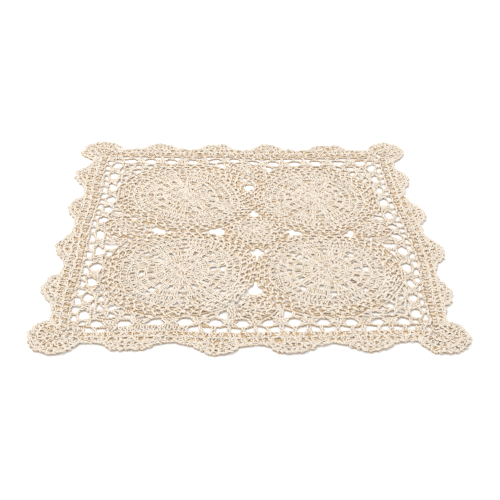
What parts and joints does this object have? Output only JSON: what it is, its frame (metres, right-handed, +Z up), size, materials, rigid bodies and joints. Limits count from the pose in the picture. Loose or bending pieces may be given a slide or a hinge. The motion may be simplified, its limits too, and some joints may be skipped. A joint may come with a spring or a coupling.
{
  "type": "crochet tablecloth",
  "caption": "Square openwork crochet tablecloth of joined round medallions with a looped net border and a scalloped shell edging, lying flat.",
  "frame": {"origin": "on the underside, below the middle of the laid cloth", "axes": "+Z up from the table, out of the cloth's face; +X to the right and +Y away along its sides, as the cloth is seen in the picture"},
  "size_m": [0.4046, 0.4004, 0.0044],
  "materials": {
    "cotton_yarn": "matte undyed cotton yarn"
  },
  "bodies": {
    "root": {"medallion_back_left": "cotton_yarn", "medallion_back_right": "cotton_yarn", "medallion_near_left": "cotton_yarn", "medallion_near_right": "cotton_yarn", "rosette_centre": "cotton_yarn", "rosette_back": "cotton_yarn", "rosette_left": "cotton_yarn", "rosette_right": "cotton_yarn", "rosette_near": "cotton_yarn", "net_border": "cotton_yarn", "shell_edging": "cotton_yarn"}
  },
  "joints": []
}
